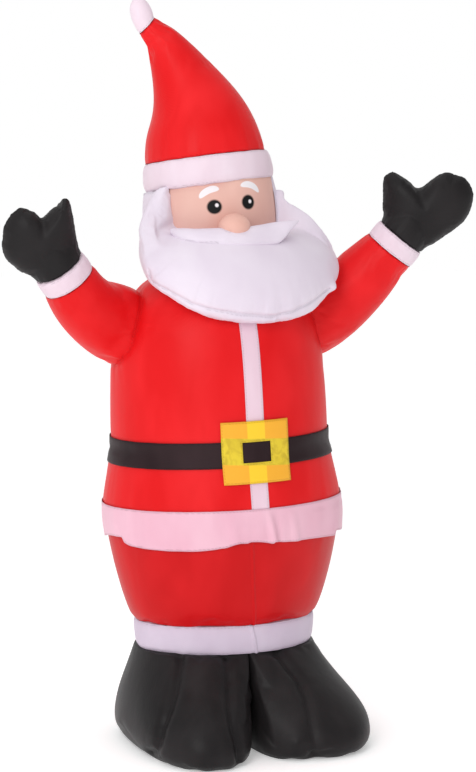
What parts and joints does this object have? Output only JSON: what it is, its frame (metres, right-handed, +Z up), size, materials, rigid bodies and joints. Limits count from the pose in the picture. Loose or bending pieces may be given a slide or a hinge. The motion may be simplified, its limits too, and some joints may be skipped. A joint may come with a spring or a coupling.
{
  "type": "inflatable santa claus",
  "caption": "Standing air-blown garden Santa Claus sewn from coloured cloth, arms raised, hat leaning to one side",
  "frame": {"origin": "on the ground, under the middle of the bounding box", "axes": "+Z up, the figure faces -Y, its left hand at +X"},
  "size_m": [1.1507, 0.6035, 1.7997],
  "materials": {
    "red_cloth": "satin woven polyester",
    "white_cloth": "satin woven polyester",
    "black_cloth": "satin woven polyester",
    "skin_cloth": "satin woven polyester",
    "yellow_cloth": "thin woven polyester that lets what is under it show"
  },
  "bodies": {
    "root": {"ankle_band": "white_cloth", "beard": "white_cloth", "belt": "black_cloth", "boot_left": "black_cloth", "boot_right": "black_cloth", "buckle": "yellow_cloth", "cuff_left": "white_cloth", "cuff_right": "white_cloth", "hair": "white_cloth", "hat": "red_cloth", "hat_band": "white_cloth", "hat_tip": "white_cloth", "head": "skin_cloth", "jacket": "red_cloth", "jacket_hem": "white_cloth", "mitten_left": "black_cloth", "mitten_right": "black_cloth", "moustache": "white_cloth", "nose": "skin_cloth", "placket": "white_cloth", "sleeve_left": "red_cloth", "sleeve_right": "red_cloth", "trousers": "red_cloth"}
  },
  "joints": []
}
